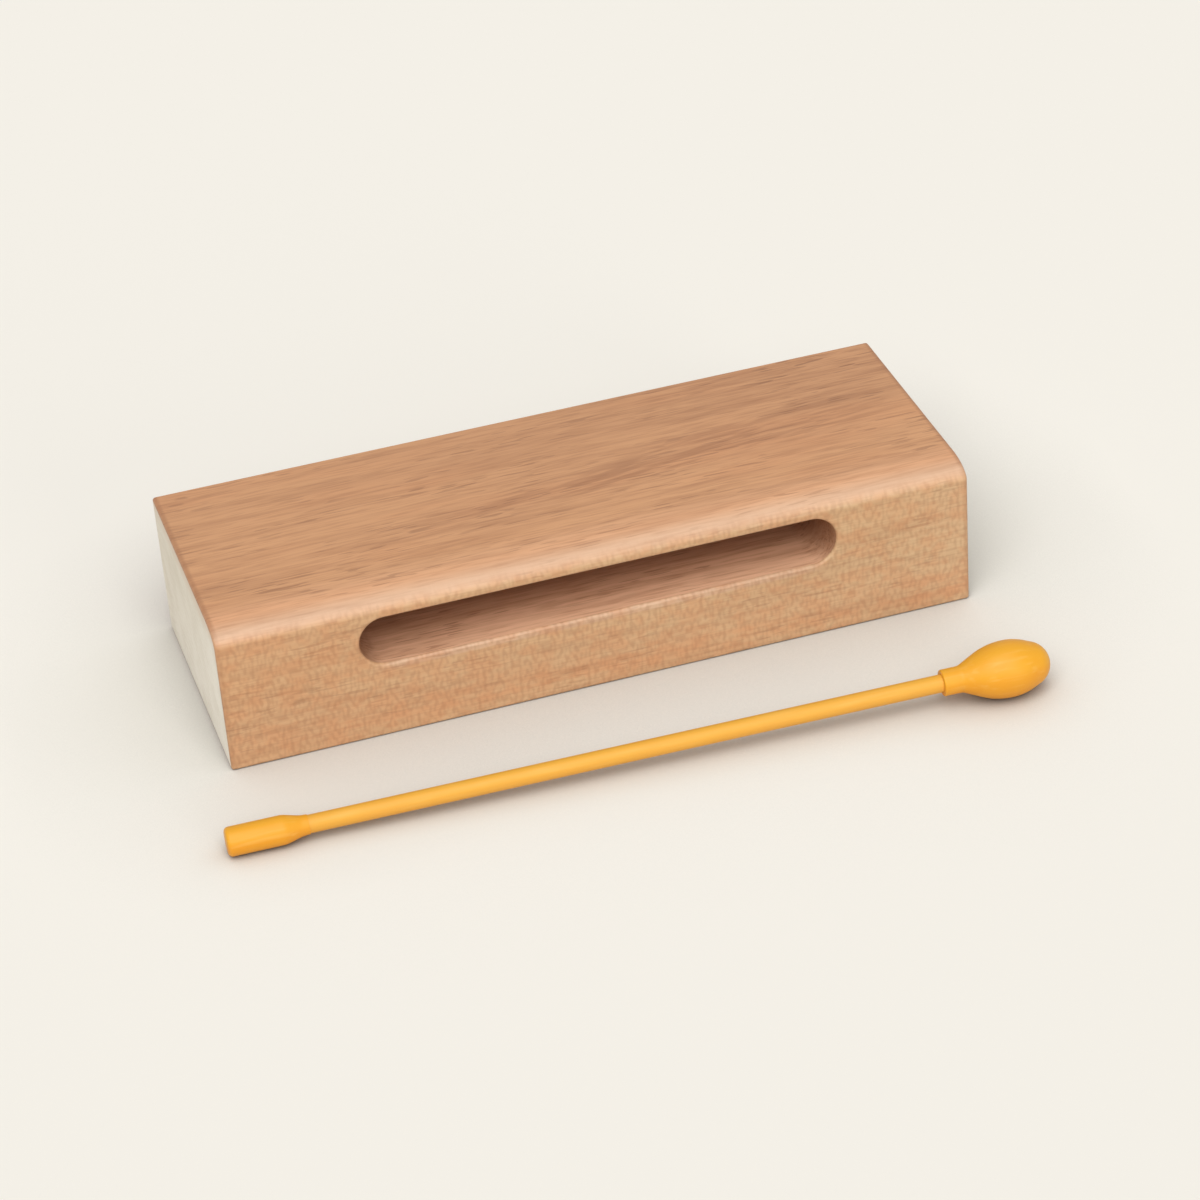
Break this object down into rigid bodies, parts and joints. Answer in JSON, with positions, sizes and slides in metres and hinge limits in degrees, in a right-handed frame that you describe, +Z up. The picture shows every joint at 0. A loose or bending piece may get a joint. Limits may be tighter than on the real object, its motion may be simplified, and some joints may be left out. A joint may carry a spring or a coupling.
{
  "type": "wood block with beater",
  "caption": "Slotted hardwood block with a rolled striking edge and pale ends, with a loose egg-headed beater lying in front of it.",
  "frame": {"origin": "middle of the block's underside", "axes": "+X along the block's length, with the beater's head at the +X end; +Y from the slotted front to the back; +Z up, out of the striking face"},
  "size_m": [0.2018, 0.1174, 0.0386],
  "materials": {
    "block_wood": "satin lacquer",
    "beater_plastic": "satin"
  },
  "bodies": {
    "block": {"wood_block": "block_wood"},
    "beater": {"beater_shaft": "beater_plastic", "beater_head": "beater_plastic", "beater_grip": "beater_plastic"}
  },
  "joints": [
    {"name": "beater_lift", "type": "slide", "parent": "block", "child": "beater", "axis": [0, 0, 1], "range_m": [0, 0.15]}
  ]
}
